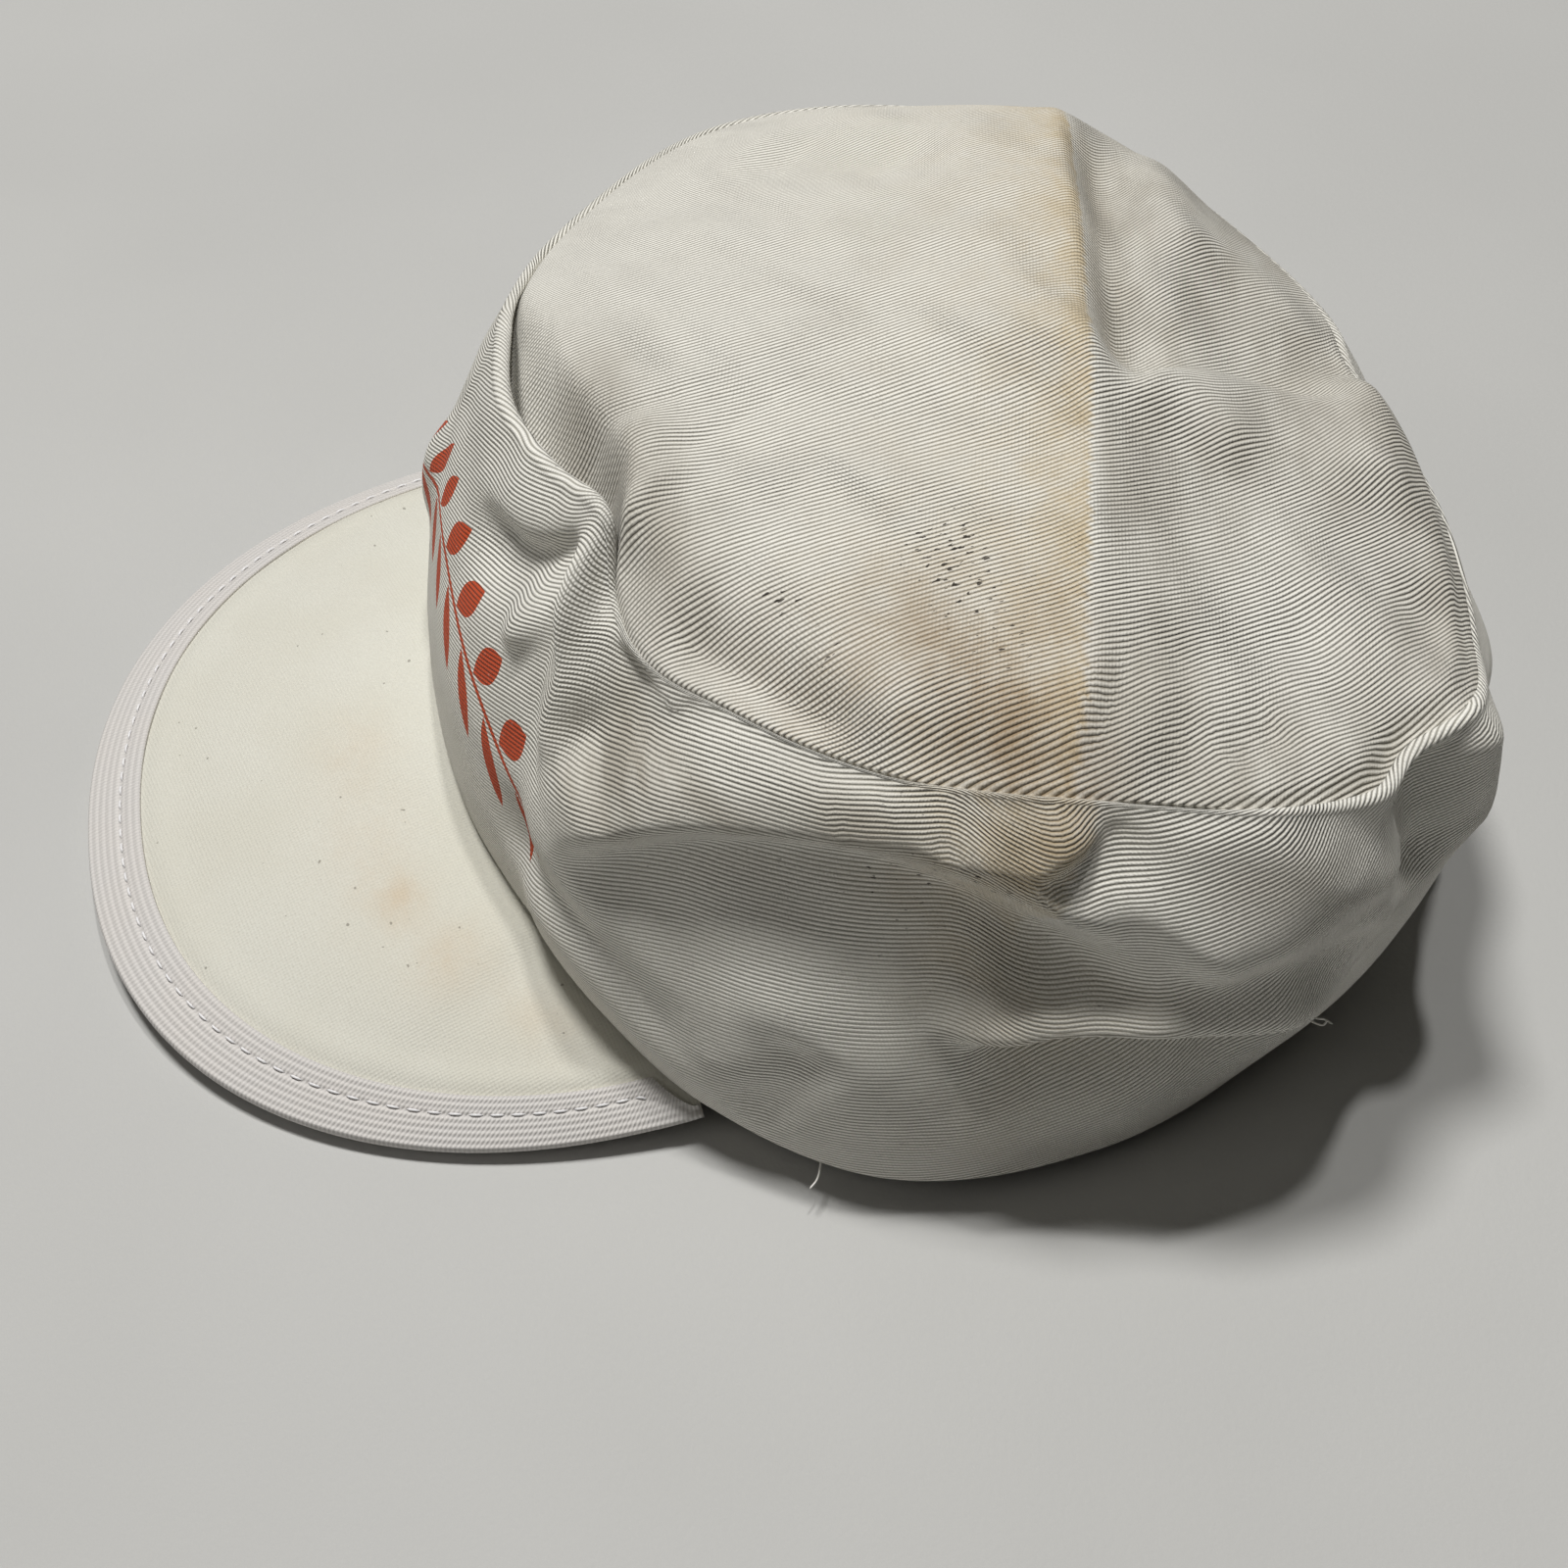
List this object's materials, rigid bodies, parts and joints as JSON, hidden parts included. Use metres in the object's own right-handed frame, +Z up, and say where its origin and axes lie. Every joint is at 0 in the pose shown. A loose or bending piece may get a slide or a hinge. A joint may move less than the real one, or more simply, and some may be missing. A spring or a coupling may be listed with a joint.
{
  "type": "painter-style snapback cap",
  "caption": "Soft cloth cap with a tall hollow side band, an oval top panel, a short curved visor with a bound edge, and an arched opening with a strap at the back.",
  "frame": {"origin": "on the surface that the cap rests on, under the middle of its box in plan", "axes": "+Z up, the visor points along -Y, the wearer's left is +X"},
  "size_m": [0.1999, 0.2312, 0.102],
  "materials": {
    "crown_cloth": "coarse white cotton twill, aged, with yellow and brown storage stains",
    "visor_cloth": "fine plain-weave cream cotton, faintly stained by the seam",
    "binding_tape": "ribbed pale grey-white tape with a line of stitches",
    "inner_cloth": "plain off-white cotton, worn",
    "strap_plastic": "off-white moulded plastic, slightly yellowed"
  },
  "bodies": {
    "root": {"crown_side": "crown_cloth", "crown_top": "crown_cloth", "visor": "visor_cloth", "visor_binding": "binding_tape", "inner_band": "inner_cloth", "snap_strap": "strap_plastic"}
  },
  "joints": []
}
